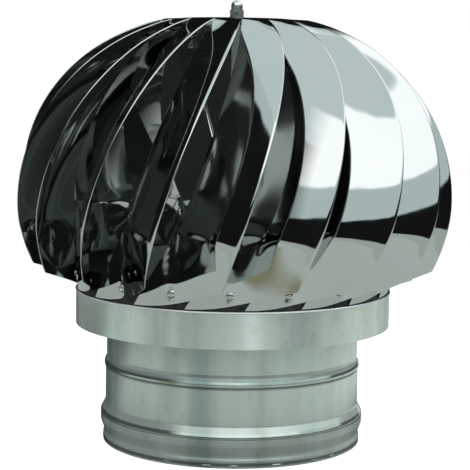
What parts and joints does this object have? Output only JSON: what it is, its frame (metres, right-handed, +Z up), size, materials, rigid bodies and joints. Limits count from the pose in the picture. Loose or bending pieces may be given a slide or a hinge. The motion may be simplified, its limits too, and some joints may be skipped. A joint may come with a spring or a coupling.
{
  "type": "rotary turbine ventilator",
  "caption": "Wind-driven turbine ventilator: a ball of twisted sheet blades turning on a beaded round flue collar.",
  "frame": {"origin": "on the spin axis, at the foot of the collar", "axes": "+Z up along the spin axis; -Y towards the front"},
  "size_m": [0.3474, 0.3496, 0.3537],
  "materials": {
    "blade_sheet": "mirror-polished stainless sheet",
    "satin_sheet": "satin stainless sheet, drawn marks",
    "rivet_metal": "bright, smooth",
    "nut_metal": "bright stainless",
    "plated_steel": "zinc plated, dull",
    "spring_steel": "blackened spring steel",
    "bearing_steel": "ground",
    "seal_rubber": "matte"
  },
  "bodies": {
    "base": {"flue_socket": "satin_sheet", "neck_tube": "satin_sheet", "lower_spider": "plated_steel", "upper_spider": "plated_steel", "bearing_housing": "plated_steel", "housing_circlips": "spring_steel", "lower_outer_race": "bearing_steel", "upper_outer_race": "bearing_steel", "lower_bearing_seals": "seal_rubber", "upper_bearing_seals": "seal_rubber"},
    "rotor": {"blade_01": "blade_sheet", "blade_02": "blade_sheet", "blade_03": "blade_sheet", "blade_04": "blade_sheet", "blade_05": "blade_sheet", "blade_06": "blade_sheet", "blade_07": "blade_sheet", "blade_08": "blade_sheet", "blade_09": "blade_sheet", "blade_10": "blade_sheet", "blade_11": "blade_sheet", "blade_12": "blade_sheet", "blade_13": "blade_sheet", "blade_14": "blade_sheet", "blade_15": "blade_sheet", "blade_16": "blade_sheet", "blade_17": "blade_sheet", "blade_18": "blade_sheet", "skirt_ring": "satin_sheet", "rivet_band": "satin_sheet", "blade_rivets": "rivet_metal", "top_disc": "blade_sheet", "disc_washer": "plated_steel", "nut_washer": "nut_metal", "cap_nut": "nut_metal", "shaft": "plated_steel", "bearing_spacer": "plated_steel", "shaft_circlips": "spring_steel", "lower_inner_race": "bearing_steel", "upper_inner_race": "bearing_steel"}
  },
  "joints": [
    {"name": "rotor_spin", "type": "hinge", "parent": "base", "child": "rotor", "pos_m": [0, 0, 0.197], "axis": [0, 0, 1], "continuous": true}
  ]
}
